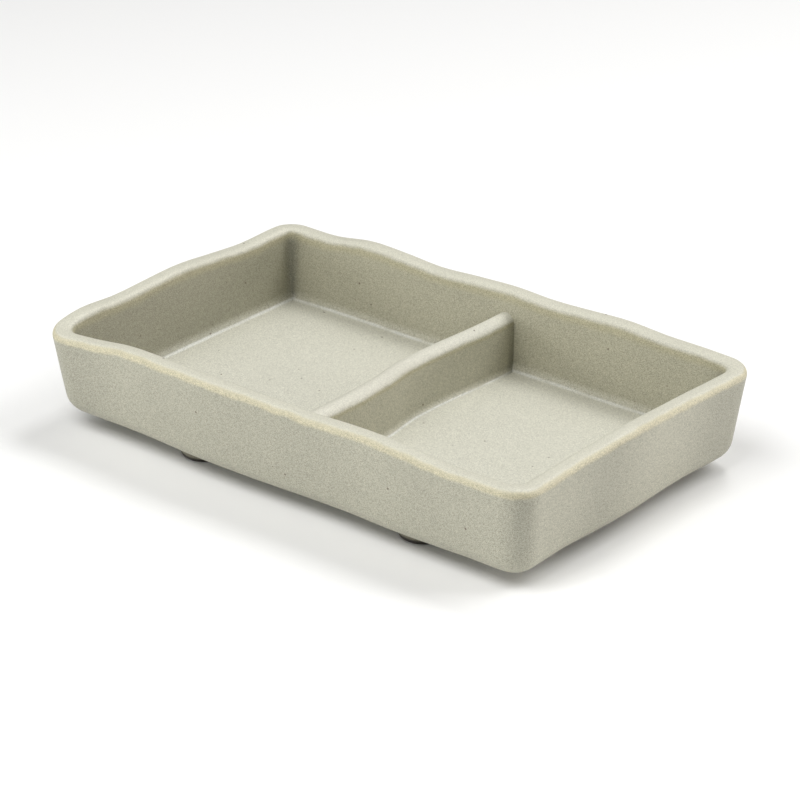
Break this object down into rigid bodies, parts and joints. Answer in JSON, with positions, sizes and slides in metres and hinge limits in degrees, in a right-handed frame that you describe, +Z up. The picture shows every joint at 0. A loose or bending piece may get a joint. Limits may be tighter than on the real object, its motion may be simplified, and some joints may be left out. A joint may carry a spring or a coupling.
{
  "type": "divided dish",
  "caption": "Low oblong sauce dish with thick rippled walls, a wavy cross divider that makes two compartments, and low nub feet.",
  "frame": {"origin": "middle of the dish's bounding box, on the surface that its feet stand on", "axes": "+X along the dish to the right in the picture, +Y across the dish towards its back wall, +Z up"},
  "size_m": [0.1505, 0.0942, 0.0286],
  "materials": {
    "shell_glaze": "matt sage-cream glaze with a fine grey-tan speckle, lighter on the rim",
    "divider_glaze": "the same matt sage-cream glaze, thinner and lighter along the crest",
    "foot_clay": "the same glaze on the flare, wiped back to bare buff clay on the sole"
  },
  "bodies": {
    "root": {"dish_shell": "shell_glaze", "divider": "divider_glaze", "foot_front_left": "foot_clay", "foot_front_right": "foot_clay", "foot_back_left": "foot_clay", "foot_back_right": "foot_clay"}
  },
  "joints": []
}
